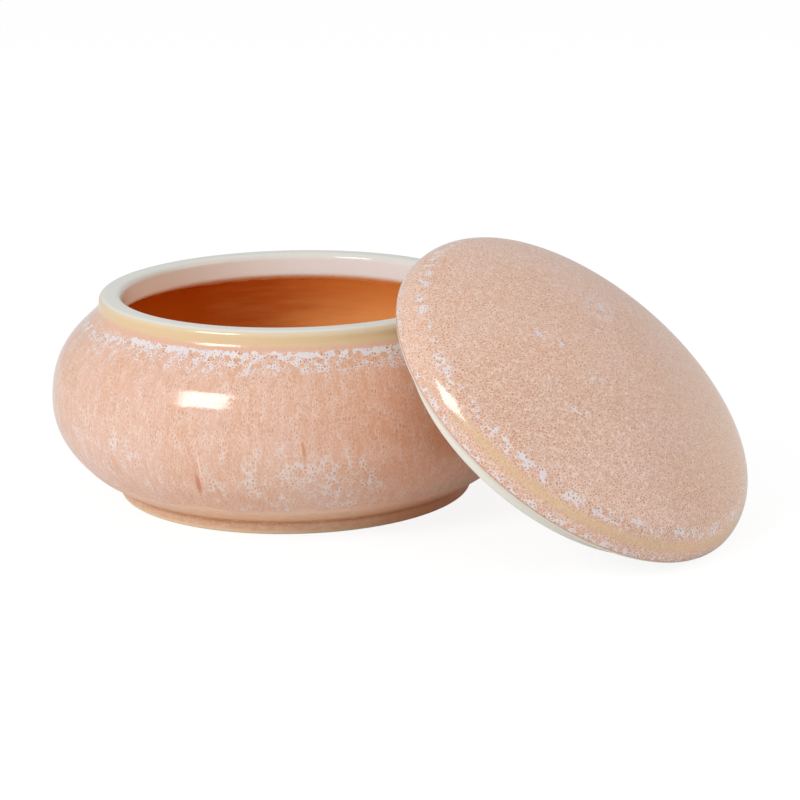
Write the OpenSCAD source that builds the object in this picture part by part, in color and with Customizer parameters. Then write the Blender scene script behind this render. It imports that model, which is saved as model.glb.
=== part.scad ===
// Squat stoneware storage pot with a domed lid, the lid taken off and leaning on the pot's rim.
// The origin is the centre of the pot's foot ring, on the surface that it stands on, and +Z is up.

/* [Pot] */
// Height of the pot, from the foot to the top of the rim
pot_h = 66.9; // [58:0.1:76]
// Radius of the belly at its widest
belly_r = 80; // [74:0.5:90]
// Height of the widest part of the belly
belly_z = 32.3; // [26:0.1:38]
// Outer radius of the neck and rim
rim_r = 63.5; // [60:0.1:68]
// Width of the rim, from its outside to the mouth
rim_w = 7.4; // [5.5:0.1:9]
// Height of the mouth's straight bore, rim edge included
mouth_h = 8.8; // [6:0.2:12]
// Height of the neck's straight outer wall
neck_h = 2.8; // [2.1:0.1:4]
// Radius of the hollow round that leads from the neck to the shoulder
neck_fillet_r = 4.1; // [2:0.1:6]
// Angle of the shoulder from upright where it leaves the neck
shoulder_slope = 33.4; // [26:0.2:50]
// Thickness of the wall at the belly
pot_wall = 5.5; // [4:0.5:8]
// Thickness of the floor over the hollow of the foot
floor_t = 5.5; // [4:0.5:9]

/* [Foot ring] */
// Outer radius of the foot ring
foot_r = 58.5; // [54:0.1:64]
// Width of the foot ring
foot_w = 7; // [5:0.5:10]
// Height of the foot ring's straight wall
foot_h = 3.1; // [2.5:0.1:6]
// Depth of the hollow inside the foot ring
foot_hollow_h = 2.5; // [1.5:0.1:4]
// Radius of the hollow round between the foot ring and the belly
foot_fillet_r = 1; // [0.6:0.1:3]
// Angle of the belly from level where it leaves the foot ring
belly_slope = 27.8; // [15:0.2:40]

/* [Lid] */
// How far the lid's side stands out past the rim
lid_over = 1.1; // [0.5:0.1:4]
// Radius of the round at the lid's lower edge
lid_edge_r = 2.8; // [1.5:0.1:4]
// Radius of the lid's shoulder
lid_shoulder_r = 11.8; // [8:0.1:16]
// Angle that the shoulder turns through before the dome begins
lid_shoulder_turn = 61.8; // [54:0.2:66]
// Thickness of the lid under the dome
lid_wall = 6.5; // [5:0.5:9]
// Radius of the hollow round inside the lid, between the flange and the dome
lid_hollow_r = 7; // [4:0.5:10]

/* [Flange] */
// Clearance between the lid's flange and the pot's mouth, on the radius
flange_gap = 1.2; // [0.6:0.1:2]
// Depth of the flange below the lid's seat
flange_h = 7.5; // [6:0.1:10]
// Thickness of the flange
flange_t = 4.9; // [4:0.1:7]

/* [Place of the lid] */
// Turn round the flange from where it meets the floor to where it lies on the rim
lean_turn = 167.5; // [155:0.1:172]
// Direction in which the lid leans, seen from above, from +X
lean_side = -32.8; // [-180:0.2:180]
// Gap that keeps the leaning lid clear of the rim
lean_gap = 0.3; // [0.2:0.1:1]

/* [Edges] */
// Radius of the rim's edges
rim_edge_r = 2; // [1:0.1:2.2]
// Radius of the edge where the neck's bore opens into the belly
throat_edge_r = 2; // [1:0.1:3]
// Radius of the foot ring's edges
foot_edge_r = 0.8; // [0.5:0.1:1.5]
// Radius of the flange's lower edges
flange_edge_r = 1; // [0.6:0.1:1.8]
// Radius of the hollow round between the flange and the seat
seat_fillet_r = 0.8; // [0.4:0.1:1.2]

/* [Hidden] */
$fn = 120;

glaze_pink = [0.90, 0.73, 0.64];
glaze_rose = [0.84, 0.70, 0.61];

// How far each curve's handles reach, as shares of the width or height that the curve spans
belly_low_out_share = 0.49;
belly_low_up_share = 0.49;
belly_top_up_share = 0.666;
belly_top_in_share = 0.405;
ceiling_out_share = 0.45;
ceiling_up_share = 0.55;
bowl_down_share = 0.6;
bowl_in_share = 0.7;
// Part of the inside radius that the flat floor takes up
flat_floor_share = 0.42;
// Angle of the ceiling from upright where it leaves the throat
ceiling_slope = 64;
// Steps in a curve, in a shoulder or fillet and in an edge
curve_steps = 16;
round_steps = 8;
edge_steps = 4;
// Passes that settle the leaning lid
settle_passes = 8;

mouth_r = rim_r - rim_w;
lid_r = rim_r + lid_over;
flange_r = mouth_r - flange_gap;
flange_in_r = flange_r - flange_t;
foot_in_r = foot_r - foot_w;
belly_in_r = belly_r - pot_wall;
floor_z = foot_hollow_h + floor_t;
throat_z = pot_h - mouth_h + throat_edge_r;

// Points of an arc, and of a curve between two points with a handle at each
function arc(c, r, from, to, steps) =
    [for (i = [0:steps]) let (a = from + (to - from) * i / steps) c + r * [cos(a), sin(a)]];
function curve(a, b, c, d, steps) =
    [for (i = [1:steps - 1]) let (t = i / steps, s = 1 - t)
        s * s * s * a + 3 * s * s * t * b + 3 * s * t * t * c + t * t * t * d];
function last(points) = points[len(points) - 1];

// The pot's outside: foot ring, belly, neck and rim
foot_out = concat(
    arc([foot_in_r + foot_edge_r, foot_edge_r], foot_edge_r, 180, 270, edge_steps),
    arc([foot_r - foot_edge_r, foot_edge_r], foot_edge_r, 270, 360, edge_steps),
    arc([foot_r + foot_fillet_r, foot_h], foot_fillet_r, 180, 90 + belly_slope, edge_steps));
neck_out = arc([rim_r + neck_fillet_r, pot_h - neck_h], neck_fillet_r, 180 + shoulder_slope, 180, edge_steps);
belly = [belly_r, belly_z];
foot_top = last(foot_out);
neck_base = neck_out[0];
belly_low = curve(foot_top,
    foot_top + belly_low_out_share * (belly_r - foot_top.x) * [1, tan(belly_slope)],
    belly - [0, belly_low_up_share * (belly_z - foot_top.y)],
    belly, curve_steps);
belly_top = curve(belly,
    belly + [0, belly_top_up_share * (neck_base.y - belly_z)],
    neck_base + belly_top_in_share * (belly_r - neck_base.x) * [sin(shoulder_slope), -cos(shoulder_slope)],
    neck_base, curve_steps);
rim = concat(
    arc([rim_r - rim_edge_r, pot_h - rim_edge_r], rim_edge_r, 0, 90, edge_steps),
    arc([mouth_r + rim_edge_r, pot_h - rim_edge_r], rim_edge_r, 90, 180, edge_steps));

// The pot's inside: bore, throat, ceiling under the shoulder, and bowl
throat = arc([mouth_r + throat_edge_r, throat_z], throat_edge_r, 180, 180 + ceiling_slope, edge_steps);
throat_end = last(throat);
belly_in = [belly_in_r, belly_z];
floor_edge = [flat_floor_share * belly_in_r, floor_z];
ceiling = curve(throat_end,
    throat_end + ceiling_out_share * (belly_in_r - throat_end.x) * [1, -1 / tan(ceiling_slope)],
    belly_in + [0, ceiling_up_share * (throat_end.y - belly_z)],
    belly_in, curve_steps);
bowl = curve(belly_in,
    belly_in - [0, bowl_down_share * (belly_z - floor_z)],
    floor_edge + [bowl_in_share * (belly_in_r - floor_edge.x), 0],
    floor_edge, curve_steps);
pot_outline = concat([[0, foot_hollow_h], [foot_in_r, foot_hollow_h]], foot_out, belly_low, [belly], belly_top,
    neck_out, rim, throat, ceiling, [belly_in], bowl, [floor_edge, [0, floor_z]]);

// The lid's outside, from its crown down to its seat, with the seat at height 0
lid_side = [lid_r - lid_edge_r, lid_edge_r];
lid_shoulder = arc([lid_r - lid_shoulder_r, lid_edge_r], lid_shoulder_r, lid_shoulder_turn, 0, round_steps);
dome_edge = lid_shoulder[0];
dome_r = dome_edge.x / cos(lid_shoulder_turn);
dome_c = [0, dome_edge.y - dome_r * sin(lid_shoulder_turn)];
dome = arc(dome_c, dome_r, 90, lid_shoulder_turn, curve_steps);
lid_out = concat(dome, lid_shoulder, arc(lid_side, lid_edge_r, 0, -90, round_steps));

// The seat, the flange and the hollow under the dome
flange = concat(
    arc([flange_r + seat_fillet_r, -seat_fillet_r], seat_fillet_r, 90, 180, edge_steps),
    arc([flange_r - flange_edge_r, flange_edge_r - flange_h], flange_edge_r, 0, -90, edge_steps),
    arc([flange_in_r + flange_edge_r, flange_edge_r - flange_h], flange_edge_r, -90, -180, edge_steps));
dome_in_r = dome_r - lid_wall;
hollow_x = flange_in_r - lid_hollow_r;
hollow_z = dome_c.y + sqrt(pow(dome_in_r - lid_hollow_r, 2) - pow(hollow_x, 2));
hollow_turn = atan2(hollow_z - dome_c.y, hollow_x);
lid_under = concat(
    arc([hollow_x, hollow_z], lid_hollow_r, 0, hollow_turn, round_steps),
    arc(dome_c, dome_in_r, hollow_turn, 90, curve_steps));
lid_outline = concat(lid_out, flange, lid_under);

// Where the lid lies: its lower edge is on the floor, and the flange's inner edge crosses the rim's outer edge on
// both sides. The rings run through the middle of the edges' rounds.
rim_ring = [rim_r - rim_edge_r, pot_h - rim_edge_r];
lip_ring = [flange_in_r + flange_edge_r, flange_edge_r - flange_h];
toe_ring = [flange_r - flange_edge_r, flange_edge_r - flange_h];
rings_gap = rim_edge_r + lean_gap + flange_edge_r;
// Tilt at which the lip is this high above the floor, and height of the seat, with an edge of this ring down
function tilt_on(ring, r, height) =
    let (a = ring.x - lip_ring.x * cos(lean_turn), b = lip_ring.y - ring.y)
        asin((height - r) / norm([a, b])) - atan2(b, a);
function seat_on(ring, r, tilt) = ring.x * sin(tilt) - ring.y * cos(tilt) + r;
function tilt_for(away) =
    let (height = rim_ring.y + rings_gap * away.z)
        min(tilt_on(toe_ring, flange_edge_r, height), tilt_on(lid_side, lid_edge_r, height));
function turn_for(away) = asin((lip_ring.x * sin(lean_turn) - rings_gap * away.y) / rim_ring.x);
// Direction across both edges where they cross, from the rim to the flange, which settles in a few passes
function across(away, passes) =
    passes == 0 ? away :
    let (turn = turn_for(away), tilt = tilt_for(away), side = sin(lean_turn) * sin(tilt),
        up = cos(turn) * sin(lean_turn) * cos(tilt) - sin(turn) * cos(lean_turn),
        next = [side * cos(turn), side * sin(turn), up])
        across(next / norm(next), passes - 1);
away = across([0, 0, 1], settle_passes);
lid_tilt = tilt_for(away);
lid_z = max(seat_on(toe_ring, flange_edge_r, lid_tilt), seat_on(lid_side, lid_edge_r, lid_tilt));
lid_reach = rim_ring.x * cos(turn_for(away)) + rings_gap * away.x
    - lip_ring.x * cos(lean_turn) * cos(lid_tilt) - lip_ring.y * sin(lid_tilt);

module pot() {
    color(glaze_pink)
        rotate_extrude()
            polygon(pot_outline);
}

module lid() {
    color(glaze_rose)
        rotate([0, 0, lean_side])
            translate([lid_reach, 0, lid_z])
                rotate([0, lid_tilt, 0])
                    rotate_extrude()
                        polygon(lid_outline);
}

pot();
lid();
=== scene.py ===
import math

import bpy
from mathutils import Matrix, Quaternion, Vector, kdtree


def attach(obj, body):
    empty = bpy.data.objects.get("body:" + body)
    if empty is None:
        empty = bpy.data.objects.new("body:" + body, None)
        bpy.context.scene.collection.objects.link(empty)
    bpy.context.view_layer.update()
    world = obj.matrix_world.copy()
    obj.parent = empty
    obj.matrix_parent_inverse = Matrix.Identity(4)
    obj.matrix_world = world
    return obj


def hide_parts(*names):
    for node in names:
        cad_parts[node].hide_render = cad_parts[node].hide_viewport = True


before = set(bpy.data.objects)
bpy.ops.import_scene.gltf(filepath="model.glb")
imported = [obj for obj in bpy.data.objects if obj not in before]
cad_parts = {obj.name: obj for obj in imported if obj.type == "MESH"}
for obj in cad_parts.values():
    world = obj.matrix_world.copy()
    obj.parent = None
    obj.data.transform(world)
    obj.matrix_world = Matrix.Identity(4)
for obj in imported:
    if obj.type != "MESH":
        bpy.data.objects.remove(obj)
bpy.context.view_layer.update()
print("frame loaded:", sorted(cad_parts))

# Lengths in the dictionaries are millimetres and angles are degrees, where no note says otherwise.
mm = 0.001
weldWithin = 2e-6  # metres; points nearer than this become one


def arc(centre, radius, start, end, steps):
    points = []
    for i in range(steps + 1):
        a = math.radians(start + (end - start) * i / steps)
        points.append((centre[0] + radius * math.cos(a), centre[1] + radius * math.sin(a)))
    return points


def curve(a, b, c, d, steps):
    # the inner points of a curve from a to d, with handles b and c
    points = []
    for i in range(1, steps):
        t = i / steps
        s = 1 - t
        points.append(tuple(s ** 3 * p + 3 * s * s * t * q + 3 * s * t * t * u + t ** 3 * v
                            for p, q, u, v in zip(a, b, c, d)))
    return points


def straight(a, b, steps):
    # the inner points of a straight run, so that long flats get more than one face
    return [(a[0] + (b[0] - a[0]) * i / steps, a[1] + (b[1] - a[1]) * i / steps) for i in range(1, steps)]


def runLengths(points):
    lengths = [0.0]
    for a, b in zip(points, points[1:]):
        lengths.append(lengths[-1] + math.dist(a, b))
    return lengths


def runTo(points, test):
    # run length at the first point that passes the test
    lengths = runLengths(points)
    return next(s for s, q in zip(lengths, points) if test(q))


def emptySelection():
    if bpy.context.object and bpy.context.object.mode != "OBJECT":
        bpy.ops.object.mode_set(mode="OBJECT")
    bpy.ops.object.select_all(action="DESELECT")


def throwPiece(name, outline, turns):
    # one vertex is drawn along the outline and the line is spun round the axis, as on a wheel
    emptySelection()
    bpy.ops.mesh.primitive_plane_add(size=mm, location=(0, 0, 0))
    piece = bpy.context.object
    piece.name = name
    piece.data.name = name
    bpy.ops.object.mode_set(mode="EDIT")
    bpy.ops.mesh.select_all(action="SELECT")
    bpy.ops.mesh.merge(type="CENTER")
    bpy.ops.transform.translate(value=(outline[0][0] * mm, 0, outline[0][1] * mm))
    for a, b in zip(outline, outline[1:]):
        step = ((b[0] - a[0]) * mm, 0, (b[1] - a[1]) * mm)
        bpy.ops.mesh.extrude_region_move(TRANSFORM_OT_translate={"value": step})
    bpy.ops.mesh.select_all(action="SELECT")
    bpy.ops.mesh.spin(steps=turns, angle=2 * math.pi, center=(0, 0, 0), axis=(0, 0, 1))
    bpy.ops.mesh.select_all(action="SELECT")
    bpy.ops.mesh.remove_doubles(threshold=weldWithin)
    bpy.ops.mesh.normals_make_consistent(inside=False)
    bpy.ops.object.mode_set(mode="OBJECT")
    bpy.ops.object.shade_smooth()
    markRun(piece, outline)
    return piece


def markRun(piece, outline):
    # each vertex remembers how far along the outline it lies, in millimetres
    lengths = runLengths(outline)
    tree = kdtree.KDTree(len(outline))
    for i, (r, h) in enumerate(outline):
        tree.insert((r, h, 0), i)
    tree.balance()
    run = piece.data.attributes.new("glazeRun", "FLOAT", "POINT")
    for vertex, mark in zip(piece.data.vertices, run.data):
        x, y, z = vertex.co
        mark.value = lengths[tree.find((math.hypot(x, y) / mm, z / mm, 0))[1]]


potShape = {
    "height": 66.9, "rimRadius": 63.5, "rimWidth": 7.4, "rimEdge": 2.0,
    "bellyRadius": 80.0, "bellyHeight": 32.3, "bellySlope": 27.8, "shoulderSlope": 33.4,
    "lowOut": 0.49, "lowUp": 0.49, "topUp": 0.666, "topIn": 0.405,  # how full the wall's curves are
    "neckHeight": 2.8, "neckRound": 4.1, "boreHeight": 8.8, "throatRound": 2.0, "throatTurn": 64,
    "footRadius": 58.5, "footWidth": 7.0, "footHeight": 3.1, "footHollow": 2.5,
    "footEdge": 0.8, "footRound": 1.0,
    "wall": 5.5, "floor": 5.5,
    # how full the hollow's curves are, and how much of the floor is flat
    "ceilingOut": 0.45, "ceilingUp": 0.55, "bowlDown": 0.6, "bowlOut": 0.7, "flatShare": 0.42,
    # the low roll where the glaze ran down and thickened above the foot
    "rollHeight": 9.5, "rollReach": 0.35, "rollSpread": 2.2,
    "turns": 224,
}


def potOutline():
    # from the middle of the foot's recess out, up the wall, over the rim and down to the middle of the floor
    p = potShape
    mouth = p["rimRadius"] - p["rimWidth"]
    footIn = p["footRadius"] - p["footWidth"]
    bellyIn = p["bellyRadius"] - p["wall"]
    floorTop = p["footHollow"] + p["floor"]
    belly = (p["bellyRadius"], p["bellyHeight"])

    middle, recess = (0, p["footHollow"]), (footIn, p["footHollow"])
    under = [middle] + straight(middle, recess, steps=8) + [recess]
    foot = arc((footIn + p["footEdge"], p["footEdge"]), p["footEdge"], 180, 270, steps=6)
    footOut = arc((p["footRadius"] - p["footEdge"], p["footEdge"]), p["footEdge"], 270, 360, steps=8)
    footTop = arc((p["footRadius"] + p["footRound"], p["footHeight"]), p["footRound"],
                  180, 90 + p["bellySlope"], steps=8)
    neck = arc((p["rimRadius"] + p["neckRound"], p["height"] - p["neckHeight"]), p["neckRound"],
               180 + p["shoulderSlope"], 180, steps=12)

    start, end = footTop[-1], neck[0]
    out = p["lowOut"] * (belly[0] - start[0])
    low = curve(start, (start[0] + out, start[1] + out * math.tan(math.radians(p["bellySlope"]))),
                (belly[0], belly[1] - p["lowUp"] * (belly[1] - start[1])), belly, steps=40)
    low = [(r + p["rollReach"] * math.exp(-((z - p["rollHeight"]) / p["rollSpread"]) ** 2), z)
           for r, z in low]
    reach = p["topIn"] * (belly[0] - end[0])
    slope = math.radians(p["shoulderSlope"])
    top = curve(belly, (belly[0], belly[1] + p["topUp"] * (end[1] - belly[1])),
                (end[0] + reach * math.sin(slope), end[1] - reach * math.cos(slope)), end, steps=40)
    rim = (arc((p["rimRadius"] - p["rimEdge"], p["height"] - p["rimEdge"]), p["rimEdge"], 0, 90, steps=8)
           + arc((mouth + p["rimEdge"], p["height"] - p["rimEdge"]), p["rimEdge"], 90, 180, steps=8))

    throatHeight = p["height"] - p["boreHeight"] + p["throatRound"]
    throat = arc((mouth + p["throatRound"], throatHeight), p["throatRound"],
                 180, 180 + p["throatTurn"], steps=8)
    side = (bellyIn, p["bellyHeight"])
    turned = throat[-1]
    out = p["ceilingOut"] * (bellyIn - turned[0])
    ceiling = curve(turned, (turned[0] + out, turned[1] - out / math.tan(math.radians(p["throatTurn"]))),
                    (bellyIn, side[1] + p["ceilingUp"] * (turned[1] - side[1])), side, steps=24)
    flat = (p["flatShare"] * bellyIn, floorTop)
    bowl = curve(side, (bellyIn, side[1] - p["bowlDown"] * (side[1] - floorTop)),
                 (flat[0] + p["bowlOut"] * (bellyIn - flat[0]), floorTop), flat, steps=28)
    inside = rim[-1:] + straight(rim[-1], throat[0], steps=6) + throat + ceiling + [side] + bowl
    return (under + foot + footOut + footTop + low + [belly] + top + neck + rim[:-1] + inside
            + [flat] + straight(flat, (0, floorTop), steps=6) + [(0, floorTop)])


def potSpot(azimuth, height):
    # the place on the pot's outside at this azimuth and height
    heights = [z for r, z in potPoints]
    ringMiddle = potShape["footRadius"] - potShape["footWidth"] / 2
    outside = [q for q in potPoints[:heights.index(max(heights))] if q[0] > ringMiddle]
    a = math.radians(azimuth)
    for (r0, z0), (r1, z1) in zip(outside, outside[1:]):
        if min(z0, z1) <= height <= max(z0, z1):
            t = 0 if z1 == z0 else (height - z0) / (z1 - z0)
            r = r0 + (r1 - r0) * t
            return (r * math.cos(a), r * math.sin(a), height)


potPoints = potOutline()
pot = throwPiece("potBody", potPoints, potShape["turns"])
print("pot thrown:", len(pot.data.polygons), "faces")


lidShape = {
    "radius": 64.6, "edge": 2.8, "shoulder": 11.8, "shoulderTurn": 61.8, "wall": 6.5, "hollowRound": 7.0,
    "flangeRadius": 54.9, "flangeHeight": 7.5, "flangeThickness": 4.9, "flangeEdge": 1.0, "seatRound": 0.8,
    # the lid leans: its seat's centre is this far out and up, tipped, with its low side this way round
    "reach": 104.014, "height": 40.7626, "tilt": 40.212, "side": -32.8,
    "turns": 208,
}


def lidOutline():
    # from the top of the dome out to the edge, in along the seat, round the flange and up into the hollow
    p = lidShape
    turn = p["shoulderTurn"]
    shoulder = arc((p["radius"] - p["shoulder"], p["edge"]), p["shoulder"], turn, 0, steps=20)
    edgeX, edgeZ = shoulder[0]
    domeRadius = edgeX / math.cos(math.radians(turn))
    domeZ = edgeZ - domeRadius * math.sin(math.radians(turn))
    dome = arc((0, domeZ), domeRadius, 90, turn, steps=36)
    side = arc((p["radius"] - p["edge"], p["edge"]), p["edge"], 0, -90, steps=12)
    seat = arc((p["flangeRadius"] + p["seatRound"], -p["seatRound"]), p["seatRound"], 90, 180, steps=6)
    edge, flangeIn = p["flangeEdge"], p["flangeRadius"] - p["flangeThickness"]
    flange = (arc((p["flangeRadius"] - edge, edge - p["flangeHeight"]), edge, 0, -90, steps=6)
              + arc((flangeIn + edge, edge - p["flangeHeight"]), edge, -90, -180, steps=6))
    hollowRadius = domeRadius - p["wall"]
    cornerX = flangeIn - p["hollowRound"]
    cornerZ = domeZ + math.sqrt((hollowRadius - p["hollowRound"]) ** 2 - cornerX ** 2)
    cornerTurn = math.degrees(math.atan2(cornerZ - domeZ, cornerX))
    hollow = (arc((cornerX, cornerZ), p["hollowRound"], 0, cornerTurn, steps=12)
              + arc((0, domeZ), hollowRadius, cornerTurn, 90, steps=24)[1:])
    return (dome[:-1] + shoulder + side[1:] + straight(side[-1], seat[0], steps=3) + seat
            + straight(seat[-1], flange[0], steps=4) + flange
            + straight(flange[-1], hollow[0], steps=4) + hollow)


def leanLid():
    # the lid is thrown level and then set leaning; its place and turn are kept for its glaze
    p = lidShape
    side = math.radians(p["side"])
    emptySelection()
    lid.select_set(True)
    bpy.context.view_layer.objects.active = lid
    lid.rotation_euler = (0, math.radians(p["tilt"]), side)
    lid.location = (p["reach"] * mm * math.cos(side), p["reach"] * mm * math.sin(side), p["height"] * mm)
    plane = {"Location": tuple(lid.location), "Rotation": tuple(lid.rotation_euler)}
    bpy.ops.object.transform_apply(location=True, rotation=True, scale=True)
    return plane


lidPoints = lidOutline()
lid = throwPiece("lidBody", lidPoints, lidShape["turns"])
lidPlane = leanLid()
print("lid thrown:", len(lid.data.polygons), "faces")


def colour(r, g, b):
    # a colour as seen, 0 to 255, made linear for a node
    def straighten(v):
        v /= 255
        return v / 12.92 if v <= 0.04045 else ((v + 0.055) / 1.055) ** 2.4
    return (straighten(r), straighten(g), straighten(b), 1)


class Wire:
    # a node's output; arithmetic on it adds Math nodes
    def __init__(self, finish, socket):
        self.finish = finish
        self.socket = socket

    def math(self, operation, *others):
        values = dict(enumerate((self,) + others))
        return self.finish.node("ShaderNodeMath", {"operation": operation}, values)

    def __add__(self, other):
        return self.math("ADD", other)

    def __sub__(self, other):
        return self.math("SUBTRACT", other)

    def __rsub__(self, other):
        return self.finish.node("ShaderNodeMath", {"operation": "SUBTRACT"}, {0: other, 1: self})

    def __mul__(self, other):
        return self.math("MULTIPLY", other)

    def __truediv__(self, other):
        return self.math("DIVIDE", other)

    __radd__ = __add__
    __rmul__ = __mul__

    def atMost(self, other):
        return self.math("MINIMUM", other)

    def atLeast(self, other):
        return self.math("MAXIMUM", other)

    def rise(self, low, high):
        # 0 below low, 1 above high, smooth between them
        return self.finish.node("ShaderNodeMapRange", {"interpolation_type": "SMOOTHSTEP"},
                                {"Value": self, "From Min": low, "From Max": high})

    def between(self, low, high, soft):
        return self.rise(low - soft, low + soft) * (1 - self.rise(high - soft, high + soft))


gloss = {"ior": 1.56, "bump": 0.2, "bumpDepth": 0.3}


class Finish:
    # the nodes of one material or world
    def __init__(self, owner):
        owner.use_nodes = True
        self.owner = owner
        self.tree = owner.node_tree
        self.tree.nodes.clear()

    def node(self, kind, settings, sockets, out=0):
        made = self.tree.nodes.new(kind)
        for key, value in settings.items():
            setattr(made, key, value)
        for key, value in sockets.items():
            if isinstance(value, Wire):
                self.tree.links.new(value.socket, made.inputs[key])
            else:
                made.inputs[key].default_value = value
        if isinstance(out, (tuple, list)):
            return [Wire(self, made.outputs[o]) for o in out]
        return Wire(self, made.outputs[out])

    def mix(self, mask, a, b):
        # colour a where the mask is 0, colour b where it is 1
        return self.node("ShaderNodeMix", {"data_type": "RGBA"}, {0: mask, 6: a, 7: b}, 2)

    def noise(self, place, scale, detail=2.0, rough=0.5, out=0):
        return self.node("ShaderNodeTexNoise", {},
                         {"Vector": place, "Scale": scale, "Detail": detail, "Roughness": rough}, out)

    def cells(self, place, scale, feature="DISTANCE_TO_EDGE"):
        return self.node("ShaderNodeTexVoronoi", {"feature": feature}, {"Vector": place, "Scale": scale},
                         "Distance")

    def vector(self, operation, a, b=None, scale=None, out=0):
        sockets = {0: a}
        if b is not None:
            sockets[1] = b
        if scale is not None:
            sockets["Scale"] = scale
        return self.node("ShaderNodeVectorMath", {"operation": operation}, sockets, out)

    def point(self, x, y, z):
        return self.node("ShaderNodeCombineXYZ", {}, {0: x, 1: y, 2: z})

    def lifted(self, place, amount):
        # the place, moved up by the amount
        return self.vector("ADD", place, self.point(0.0, 0.0, amount))

    def warp(self, place, scale, reach):
        # the place, pushed about by up to the reach
        push = self.vector("SUBTRACT", self.noise(place, scale, out=1), (0.5, 0.5, 0.5))
        return self.vector("ADD", place, self.vector("SCALE", push, scale=2 * reach))

    def near(self, place, spot, inner, outer):
        # 1 near the spot, 0 past the outer distance
        away = self.vector("DISTANCE", place, spot, out="Value")
        return 1 - away.rise(inner, outer)

    def surface(self, base, rough, lumps):
        bump = self.node("ShaderNodeBump", {}, {"Strength": gloss["bump"], "Height": lumps,
                                                "Distance": gloss["bumpDepth"] * mm})
        shader = self.node("ShaderNodeBsdfPrincipled", {}, {"IOR": gloss["ior"], "Base Color": base,
                                                            "Roughness": rough, "Normal": bump})
        self.node("ShaderNodeOutputMaterial", {}, {0: shader}, out=[])


glaze = {
    # the body of both pieces, where a drip changed it, and painted shade colours for the side that the
    # leaning lid shades
    "peach": colour(228, 180, 153), "tan": colour(222, 170, 137), "rose": colour(230, 187, 167),
    "pit": colour(186, 132, 107), "line": colour(245, 221, 208), "haze": colour(236, 222, 216),
    "lace": colour(236, 228, 226), "laceCool": colour(230, 221, 225), "blush": colour(228, 182, 156),
    "shadeSideOrange": colour(238, 146, 94), "lidShadePatch": colour(230, 136, 84),
    "drip": colour(206, 126, 98), "dripAmber": colour(208, 144, 90),
    # over and under the foot, with brown for the crease that is partly painted shade, and painted shade
    # orange for the foot's right side
    "low": colour(246, 204, 166), "roll": colour(236, 187, 148), "creaseBrownShade": colour(196, 132, 84),
    "footShadeOrange": colour(232, 142, 90), "clay": colour(240, 218, 184), "underClay": colour(238, 229, 214),
    # the pot's neck, rim and inside, with painted shade for the inside's left and painted light for the
    # amber's right and back
    "honey": colour(228, 197, 153), "cream": colour(229, 208, 176), "rim": colour(230, 229, 221),
    "neckIn": colour(255, 255, 252), "neckInShaded": colour(243, 230, 214),
    "amberPaintedLight": colour(253, 190, 116), "amberPaintedShade": colour(214, 112, 22),
    # the lid's own, with painted light for its paler side and a painted shadow line where the glaze ends
    "pale": colour(253, 208, 172), "heart": colour(228, 166, 130), "lidHoney": colour(226, 191, 143),
    "lidPit": colour(190, 132, 104), "lidLine": colour(245, 220, 205),
    "seat": colour(233, 229, 218), "glazeEdgeShadow": colour(184, 148, 118),
}


def netted(coat, place, scale):
    # pale lines round darker pits, livelier here and there, and winding threads among them
    edge = coat.cells(coat.warp(place, 1.0, 0.35), scale)
    lively = coat.noise(place, 0.5, 3.0, 0.6)
    thread = (coat.noise(place, scale * 0.95, 1.0) - 0.5).math("ABSOLUTE")
    line = (1 - edge.rise(0.0, 0.15)).atLeast((1 - thread.rise(0.005, 0.04)) * 0.8) * lively.rise(0.24, 0.52)
    pits = edge.rise(0.1, 0.28) * thread.rise(0.02, 0.06) * lively.rise(0.32, 0.58)
    return line, pits


def laced(coat, place, thick, uneven):
    # white crystals: a web of lines that close up where they lie thick, with round holes of two sizes
    loose = coat.warp(place, 0.5, 0.35)
    edge = coat.cells(loose, 1.0)
    width = thick * 0.3 + (uneven - 0.5) * 0.16 - 0.03
    web = 1 - edge.rise(width, width + 0.09)
    wide = (coat.cells(loose, 0.36, "F1") + thick * 0.2).rise(0.5, 0.58)
    holes = edge.rise(0.2, 0.32) * thick.rise(0.1, 0.45)
    shade = coat.mix(uneven.rise(0.4, 0.6), glaze["lace"], glaze["laceCool"])
    return web * wide * thick.rise(0.04, 0.22), holes, shade


# a pair is where something begins or ends in height; a band has both its edges and how soft they are
potLook = {
    "unrolledAt": 76.0,  # radius of the wall as the patterns see it
    "netScale": 1.6,
    "ringFaint": (52.5, 58.5), "ringFull": (58.3, 59.8), "ringWhite": (59.0, 60.0),
    "ringEnds": (60.5, 61.1),
    "cloudsBegin": (9, 14), "cloudsEnd": (30, 39), "cloudMost": 0.45,
    # azimuth, height and reach of the thicker clouds on the belly
    "clouds": ((-92, 24, 17), (-76, 23, 17), (-106, 19, 7), (-131, 30, 7), (-137, 22, 5), (-148, 22, 5),
               (-115, 13, 5), (-101, 12, 5), (-88, 12, 6), (-75, 12, 7)),
    # azimuth, height, half width, half height, shade and strength of each drip
    "drips": ((-109.6, 28.0, 0.35, 4.5, "line", 0.6), (-110.6, 21.4, 0.9, 4.6, "drip", 0.85),
              (-85.9, 33.5, 0.6, 3.0, "dripAmber", 0.8)),
    "dripLean": 0.12, "dripDepth": 12,
    # painted shade: the patch nearest the leaning lid
    "lidShadePatchAt": (-43, 38), "lidShadePatchReach": (3.0, 24.0),  # azimuth and height; full and fading distance
    "lowEnds": (9.5, 12.5), "rollHighlightBand": (9.4, 10.8, 0.8), "crease": (3.2, 5.6, 0.8), "flecksEnd": (2.8, 5.0),
    "clayEnds": (0.9, 1.4), "bareEnds": (0.4, 0.9), "satinEnds": (8, 20),
    "blushBegins": (60.6, 61.2), "honeyBegins": (61.5, 62.9), "creamBegins": (64.4, 66.2),
    "amberEnds": (57.2, 57.7), "neckInEnds": (64.5, 66.5),
}


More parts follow.
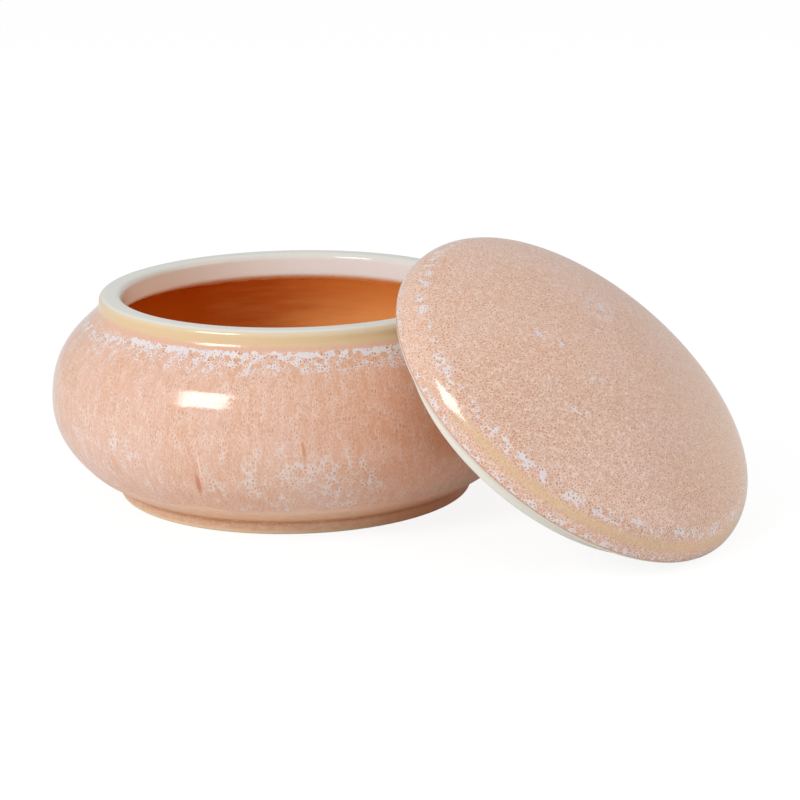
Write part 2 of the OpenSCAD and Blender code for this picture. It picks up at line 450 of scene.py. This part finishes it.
def potGlaze():
    coat = Finish(bpy.data.materials.new("potReactiveGlaze"))
    look = potLook
    # runs along the outline to the foot's outer edge, halfway round the rim's outer edge, and to the mouth
    p = potShape
    ringMiddle = p["footRadius"] - p["footWidth"] / 2
    mouth = p["rimRadius"] - p["rimWidth"]
    nearTop = p["height"] - p["rimEdge"] / 2
    footRun = runTo(potPoints, lambda q: q[0] > ringMiddle)
    rimRun = runTo(potPoints, lambda q: q[1] > nearTop and q[0] < p["rimRadius"] - 0.2 * p["rimEdge"])
    mouthRun = runTo(potPoints, lambda q: q[1] > nearTop and q[0] < mouth + 0.65 * p["rimEdge"])

    spot = coat.node("ShaderNodeTexCoord", {}, {}, "Object")
    run = coat.node("ShaderNodeAttribute", {"attribute_name": "glazeRun"}, {}, "Fac")
    x, y, z = coat.node("ShaderNodeSeparateXYZ", {}, {0: spot}, (0, 1, 2))
    across, away, height = x * 1000, y * 1000, z * 1000
    inMm = coat.vector("SCALE", spot, scale=1000.0)
    outward = coat.vector("NORMALIZE", coat.point(x, y, 0.0))
    around = coat.vector("SCALE", outward, scale=look["unrolledAt"])
    # places on the unrolled wall: even by the neck and a little drawn out below, drawn out, drawn right out
    even = coat.lifted(around, run * (height.rise(38, 52) * 0.35 + 0.65))
    drawn = coat.lifted(around, run * 0.42)
    streaky = coat.lifted(around, run * 0.12)

    broad = coat.noise(coat.lifted(around, run * 0.3), 0.05)
    patchy = coat.noise(even, 0.15)
    bays = coat.noise(even, 0.3)
    small = coat.noise(drawn, 0.42)
    streaks = coat.noise(streaky, 1.0, 3.0, 0.6)
    fineStreaks = coat.noise(streaky, 2.2, 2.0, 0.6)

    # where the white crystals gather: a ring under the neck, and clouds low on the belly
    faint = across.rise(-62, -34) * 0.5 + 0.5
    nearNeck = height + (1 - across.rise(-68, -46)) * 2.0
    ring = nearNeck.rise(*look["ringFaint"]) * 0.5 + nearNeck.rise(*look["ringFull"]) * 0.5
    ring = ring * (bays.rise(0.35, 0.58) * 0.7 + 0.3) + nearNeck.rise(*look["ringWhite"]) * 0.32
    ring = ring * (1 - (nearNeck + (small - 0.5) * 1.8).rise(*look["ringEnds"])) * faint
    clouds = height.rise(*look["cloudsBegin"]) * (1 - height.rise(*look["cloudsEnd"]))
    clouds = clouds * ((patchy + broad) * 0.5).rise(0.46, 0.6) * 0.17
    for azimuth, h, size in look["clouds"]:
        cloud = coat.near(inMm, potSpot(azimuth, h), size * 0.25, size)
        clouds = clouds + 0.3 * cloud * (bays.rise(0.36, 0.62) * 0.7 + 0.3)
    thick = ring.atLeast(clouds.atMost(look["cloudMost"]))
    line, pits = netted(coat, drawn, look["netScale"])
    lace, holes, laceShade = laced(coat, even, thick, small)

    # the body: peach with rose and tan in soft streaks
    base = coat.mix((streaks * 0.35 + bays * 0.65).rise(0.36, 0.62), glaze["tan"], glaze["peach"])
    base = coat.mix(broad.rise(0.4, 0.62) * 0.7, base, glaze["rose"])
    base = coat.mix(fineStreaks.rise(0.52, 0.7) * 0.15, base, glaze["pit"])
    base = coat.mix((1 - fineStreaks).rise(0.52, 0.7) * 0.3, base, glaze["line"])
    # painted shade: the side under the leaning lid is made darker and more orange for the lid's shadow and
    # its warm bounce, most in a patch nearest the lid
    paintedShadeSide = (x * 10.4 - y * 7.2).rise(0.55, 1.15) * height.rise(-10, 30)
    base = coat.mix(paintedShadeSide * 0.78, base, glaze["shadeSideOrange"])
    lidShadePatch = coat.near(inMm, potSpot(*look["lidShadePatchAt"]), *look["lidShadePatchReach"])
    base = coat.mix(lidShadePatch * 0.55, base, glaze["lidShadePatch"])
    # darker pits, pale lines and lace
    base = coat.mix(pits * (patchy.rise(0.35, 0.6) * 0.35 + 0.15), base, glaze["pit"])
    base = coat.mix(line * (small.rise(0.38, 0.64) * 0.5 + 0.2) * (1 - paintedShadeSide * 0.4), base, glaze["line"])
    base = coat.mix(holes * (0.5 + height.rise(45, 56) * 0.3), base, glaze["pit"])
    base = coat.mix(clouds.atMost(0.5) * 0.25, base, glaze["line"])
    white = coat.mix(height.rise(40, 50), glaze["haze"], laceShade)
    base = coat.mix(lace * (0.75 + height.rise(45, 58) * 0.2), base, white)

    # drips where the glaze broke to red or amber, and the pale thread over one
    for azimuth, h, wide, tall, shade, strength in look["drips"]:
        cx, cy, cz = potSpot(azimuth, h)
        leaning = (across - cx + (height - cz) * look["dripLean"]) / wide
        fromDrip = coat.point(leaning, (away - cy) / look["dripDepth"], (height - cz) / tall)
        drip = 1 - coat.vector("LENGTH", fromDrip, out="Value").rise(0.4, 1.2)
        base = coat.mix(drip * strength, base, glaze[shade])

    # thick glaze over the foot: tan, drawn round, with a pale line painted along its roll as a highlight and
    # brown in the crease below, partly painted shade
    flow = coat.noise(coat.lifted(coat.vector("SCALE", around, scale=0.3), run), 0.9, 3.0)
    low = 1 - (height + (small - 0.5) * 4 + (patchy - 0.5) * 5).rise(*look["lowEnds"])
    base = coat.mix(low * 0.85, base, coat.mix(flow.rise(0.4, 0.62), glaze["roll"], glaze["low"]))
    # painted highlight along the top of the roll
    base = coat.mix((height + (patchy - 0.5) * 2).between(*look["rollHighlightBand"]) * 0.35, base, glaze["line"])
    # brown in the crease between belly and foot: glaze that pooled there, deepened as painted shade under the
    # belly's lip
    base = coat.mix(height.between(*look["crease"]) * flow.rise(0.3, 0.54) * 0.8, base, glaze["creaseBrownShade"])
    # painted shade: the foot's right side, away from the window, turned deeper orange
    base = coat.mix(low * across.rise(10, 60) * 0.7, base, glaze["footShadeOrange"])
    flecks = coat.noise(coat.lifted(around, run * 1.5), 0.6, 3.0, 0.65).rise(0.5, 0.64)
    flecks = (1 - height.rise(*look["flecksEnd"])) * flecks * (1 - across.rise(5, 40))
    base = coat.mix(flecks * 0.5, base, glaze["haze"])
    base = coat.mix(1 - (height + across.rise(0, 40) * 0.7).rise(*look["clayEnds"]), base, glaze["clay"])

    # the neck: blush, then honey, then cream where the glaze thins to the rim
    up = height + (small - 0.5) * 0.8 + x * 8
    base = coat.mix(up.rise(*look["blushBegins"]) * 0.82, base, glaze["blush"])
    base = coat.mix(up.rise(*look["honeyBegins"]), base, glaze["honey"])
    base = coat.mix(up.rise(*look["creamBegins"]), base, glaze["cream"])
    base = coat.mix(run.rise(rimRun - 0.3, rimRun + 0.7), base, glaze["rim"])

    # inside: pale neck, then amber; painted shade darkens the neck's left and the amber's left and front, and
    # painted light brightens the amber's right and back, over the amber's own flow
    inside = run.rise(mouthRun - 0.4, mouthRun + 0.4)
    wall = coat.mix(across.rise(-55, 10), glaze["neckInShaded"], glaze["neckIn"])
    wall = coat.mix((height + (small - 0.5) * 0.6).rise(*look["neckInEnds"]), wall, glaze["rim"])
    amberFlow = coat.noise(coat.lifted(coat.vector("SCALE", inMm, scale=0.2), z * 1200), 0.3, 3.0)
    amberPaintedLight = coat.mix((amberFlow * 0.5 + x * 10 + y * 4).rise(0.08, 0.8), glaze["amberPaintedShade"], glaze["amberPaintedLight"])
    border = height + (coat.noise(even, 0.16, 1.0) - 0.5) * 1.2
    wall = coat.mix(1 - border.rise(*look["amberEnds"]), wall, amberPaintedLight)
    base = coat.mix(inside, base, wall)
    # under the foot: bare clay
    under = 1 - run.rise(footRun - 0.5, footRun + 0.5)
    base = coat.mix(under, base, glaze["underClay"])

    outside = 1 - inside
    bare = under.atLeast((1 - height.rise(*look["bareEnds"])) * outside)
    satin = (1 - height.rise(*look["satinEnds"])) * outside
    rough = 0.05 + 0.1 * lace * outside + 0.5 * bare + 0.04 * small + 0.28 * satin
    lumps = coat.noise(drawn, 0.75) * 0.5 + (line * 0.06 + lace * 0.14) * outside
    coat.surface(base, rough, lumps)
    return coat.owner


# here a pair or a band is measured along the outline, out from the middle of the lid's top
lidLook = {
    "netScale": 1.18,
    "starRing": (62.4, 65.9, 1.0), "starRow": (71.9, 74.0, 0.6), "topEnds": (56, 62),
    # place on the lid's own plane and reach of each blotch on its top
    "stars": ((-14, 8, 8), (-15, -26, 4), (-9, -23, 3), (12, -34, 4), (-1, -36, 3), (8, -21, 3)),
    "heartAt": (-13, 7, 0), "heartReach": (0.5, 4.0),
    "honeyBand": (66.9, 69.9, 0.9), "blushBand": (70.4, 71.8, 0.6), "thinBand": (67.0, 70.0, 0.8),
    "satinEnds": (54, 64),
}


def lidGlaze():
    coat = Finish(bpy.data.materials.new("lidReactiveGlaze"))
    look = lidLook
    edgeRun = runTo(lidPoints, lambda q: q[1] < lidShape["edge"] * 2 / 3)

    spot = coat.node("ShaderNodeTexCoord", {}, {}, "Object")
    own = coat.node("ShaderNodeMapping", {"vector_type": "TEXTURE"}, {"Vector": spot, **lidPlane})
    run = coat.node("ShaderNodeAttribute", {"attribute_name": "glazeRun"}, {}, "Fac")
    x, y = coat.node("ShaderNodeSeparateXYZ", {}, {0: own}, (0, 1))
    flat = coat.vector("NORMALIZE", coat.point(x, y, 0.0))
    even = coat.vector("SCALE", flat, scale=run)

    broad = coat.noise(even, 0.045)
    patchy = coat.noise(even, 0.15)
    bays = coat.noise(even, 0.3)
    small = coat.noise(even, 0.45)

    # star-like blotches round the top of the shoulder and a row above the edge, and a few on top
    ring = run.between(*look["starRing"]) * bays.rise(0.4, 0.6) * 0.62
    row = run.between(*look["starRow"]) * bays.rise(0.38, 0.58) * 0.62
    top = (1 - run.rise(*look["topEnds"])) * ((patchy + broad) * 0.5).rise(0.5, 0.65) * 0.14
    frayed = coat.warp(even, 0.22, 3.5)
    for px, py, size in look["stars"]:
        top = top + 0.45 * coat.near(frayed, (px, py, 0), size * 0.3, size) * small.rise(0.38, 0.6)
    heart = coat.near(frayed, look["heartAt"], *look["heartReach"])
    thick = ring.atLeast(row).atLeast(top - heart * 0.15)
    line, pits = netted(coat, even, look["netScale"])
    lace, holes, laceShade = laced(coat, even, thick, small)

    # the body: peach and tan, made paler by painted light on the side away from the window, and darker on
    # another side
    base = coat.mix(coat.noise(even, 0.28, 3.0, 0.6).rise(0.36, 0.66), glaze["tan"], glaze["peach"])
    base = coat.mix(broad.rise(0.4, 0.6) * 0.5, base, glaze["rose"])
    # painted light: the side away from the window made paler
    base = coat.mix((x * 700 + y * 700).rise(5, 55) * 0.7, base, glaze["pale"])
    base = coat.mix((x * 700 - y * 700).rise(5, 50) * 0.3, base, glaze["pit"])
    base = coat.mix(heart * 0.7, base, glaze["heart"])
    # the shoulder's thinner glaze: honey on the low side, blush elsewhere and down to the edge
    spokes = coat.noise(coat.vector("SCALE", flat, scale=150.0), 0.5, 1.0)
    band = run + (small - 0.5) * 1.4
    lowSide = (x * 1000).rise(-34, 6)
    base = coat.mix(band.between(*look["honeyBand"]) * (spokes.rise(0.3, 0.6) * 0.2 + 0.6), base,
                    coat.mix(lowSide, glaze["blush"], glaze["lidHoney"]))
    base = coat.mix(band.between(*look["blushBand"]) * 0.55, base, glaze["blush"])
    # pits, lines and lace; the net shows less where the glaze is thin
    thin = 1 - lowSide * run.between(*look["thinBand"]) * 0.6
    base = coat.mix(pits * thin * 0.8, base, glaze["lidPit"])
    base = coat.mix(line * thin * (small.rise(0.34, 0.62) * 0.25 + 0.7), base, glaze["lidLine"])
    base = coat.mix(holes * 0.7, base, glaze["pit"])
    base = coat.mix(lace * 0.92, base, laceShade)

    # the seat and the flange are bare, with a darker line where the glaze ends, painted as the shadow of the
    # glaze's step
    bare = run.rise(edgeRun - 0.25, edgeRun + 0.25)
    base = coat.mix(run.rise(edgeRun - 1.0, edgeRun - 0.4) * 0.5, base, glaze["glazeEdgeShadow"])
    base = coat.mix(bare, base, glaze["seat"])
    satin = 1 - run.rise(*look["satinEnds"])
    rough = 0.06 + (1 - bare) * 0.1 * lace + 0.35 * bare + 0.04 * small + 0.2 * satin
    lumps = coat.noise(even, 0.75) * 0.5 + (line * 0.05 + lace * 0.12) * (1 - bare)
    coat.surface(base, rough, lumps)
    return coat.owner


for piece, body, slot, material in ((pot, "pot", "pot_glaze", potGlaze()),
                                    (lid, "lid", "lid_glaze", lidGlaze())):
    piece.data.materials.append(material)
    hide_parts(body)
    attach(piece, body)
print("glazed")


# lengths here are metres
studio = {
    "aimAt": (0.0, -0.06, 0.045), "worldLight": 0.56,
    # azimuth and height angle, distance, size, power and own turn of each lamp
    "window": {"from": (-48.2, 36.0), "distance": 1.3, "size": (0.51, 0.43), "power": 7.8, "roll": 12.5},
    "reflector": {"from": (76.0, 24.0), "distance": 1.5, "size": (1.0, 1.0), "power": 2.8, "roll": 0.0},
    "floorRadius": 6.0, "floorAt": (0, 1.5, 0), "floorShade": 0.92, "floorWhite": 1.1, "floorGlow": 0.8,
    "mirrored": 0.15,
    "cameraAt": (0.0352, -0.86067, 0.25438), "sees": 30,
    "cameraDown": 0.25717, "cameraRoll": -0.01341,  # radians
    "lens": 120, "filmWidth": 36,  # millimetres
}


def whiteSeen(finish):
    # 1 where the background is looked at, and a little of that where it is mirrored
    seen, mirrored = finish.node("ShaderNodeLightPath", {}, {}, ("Is Camera Ray", "Is Glossy Ray"))
    return seen.atLeast(mirrored * studio["mirrored"])


def studioFloor():
    emptySelection()
    bpy.ops.mesh.primitive_circle_add(vertices=96, radius=studio["floorRadius"], fill_type="NGON",
                                      location=studio["floorAt"])
    floor = bpy.context.object
    floor.name = "floor"
    bpy.ops.object.transform_apply(location=True, rotation=True, scale=True)
    pale = Finish(bpy.data.materials.new("paleFloor"))
    shade = pale.node("ShaderNodeBsdfDiffuse", {}, {"Color": (studio["floorShade"],) * 3 + (1,)})
    glow = pale.node("ShaderNodeEmission", {}, {"Color": (1, 1, 1, 1), "Strength": studio["floorWhite"]})
    both = pale.node("ShaderNodeMixShader", {}, {0: whiteSeen(pale) * studio["floorGlow"], 1: shade, 2: glow})
    pale.node("ShaderNodeOutputMaterial", {}, {0: both}, out=[])
    floor.data.materials.append(pale.owner)


def studioLight():
    world = bpy.data.worlds.new("studio")
    bpy.context.scene.world = world
    sky = Finish(world)
    soft = sky.node("ShaderNodeBackground", {}, {"Color": (1, 1, 1, 1), "Strength": studio["worldLight"]})
    white = sky.node("ShaderNodeBackground", {}, {"Color": (1, 1, 1, 1), "Strength": 1.0})
    both = sky.node("ShaderNodeMixShader", {}, {0: whiteSeen(sky), 1: soft, 2: white})
    sky.node("ShaderNodeOutputWorld", {}, {0: both}, out=[])
    hangPanel("window")
    hangPanel("reflector")


def hangPanel(name):
    # an area lamp that faces the object, turned about its own middle by its roll
    lamp = studio[name]
    azimuth, up = (math.radians(v) for v in lamp["from"])
    toward = Vector((math.sin(azimuth) * math.cos(up), -math.cos(azimuth) * math.cos(up), math.sin(up)))
    bpy.ops.object.light_add(type="AREA", location=Vector(studio["aimAt"]) + toward * lamp["distance"])
    panel = bpy.context.object
    panel.name = name
    panel.data.shape = "RECTANGLE"
    panel.data.size, panel.data.size_y = lamp["size"]
    panel.data.energy = lamp["power"]
    facing = (-toward).to_track_quat("-Z", "Y")
    panel.rotation_euler = (facing @ Quaternion((0, 0, 1), math.radians(lamp["roll"]))).to_euler()


def studioCamera():
    bpy.ops.object.camera_add(location=studio["cameraAt"])
    camera = bpy.context.object
    camera.data.lens = studio["lens"]
    camera.data.sensor_width = studio["filmWidth"]
    camera.data.clip_end = studio["sees"]
    camera.rotation_mode = "ZYX"
    camera.rotation_euler = (math.pi / 2 - studio["cameraDown"], 0, studio["cameraRoll"])
    bpy.context.scene.camera = camera


studioFloor()
studioLight()
studioCamera()
bpy.context.scene.view_settings.view_transform = "Standard"
print("studio set")
